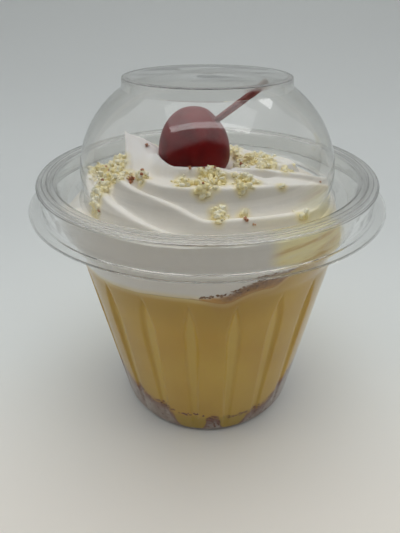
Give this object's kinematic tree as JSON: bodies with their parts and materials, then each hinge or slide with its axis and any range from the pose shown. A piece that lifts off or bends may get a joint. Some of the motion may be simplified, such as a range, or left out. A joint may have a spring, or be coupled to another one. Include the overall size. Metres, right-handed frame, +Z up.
{
  "type": "parfait cup",
  "caption": "Custard and whipped cream parfait with nuts and a cherry, in a clear fluted plastic cup with a domed lid.",
  "frame": {"origin": "on the surface that the cup stands on, under the middle of its base", "axes": "+Z up along the cup's axis to the lid's flat top, -Y towards the front of the picture, +X to its right"},
  "size_m": [0.112, 0.112, 0.1162],
  "materials": {
    "clear_cup": "clear thermoformed PET plastic, glossy",
    "clear_lid": "clear thermoformed PET plastic, glossy",
    "base_crumb": "moist dark biscuit crumb",
    "custard": "smooth set custard",
    "biscuit": "soaked biscuit crumbs",
    "cream": "soft satin whipped cream",
    "nut": "chopped pale nuts",
    "cherry": "wet glossy preserved cherry",
    "stem": "cherry stem"
  },
  "bodies": {
    "root": {"cup": "clear_cup", "lid": "clear_lid", "crumb_base": "base_crumb", "custard": "custard", "biscuit_crumbs": "biscuit", "cream": "cream", "cherry": "cherry", "cherry_stem": "stem"}
  },
  "joints": []
}
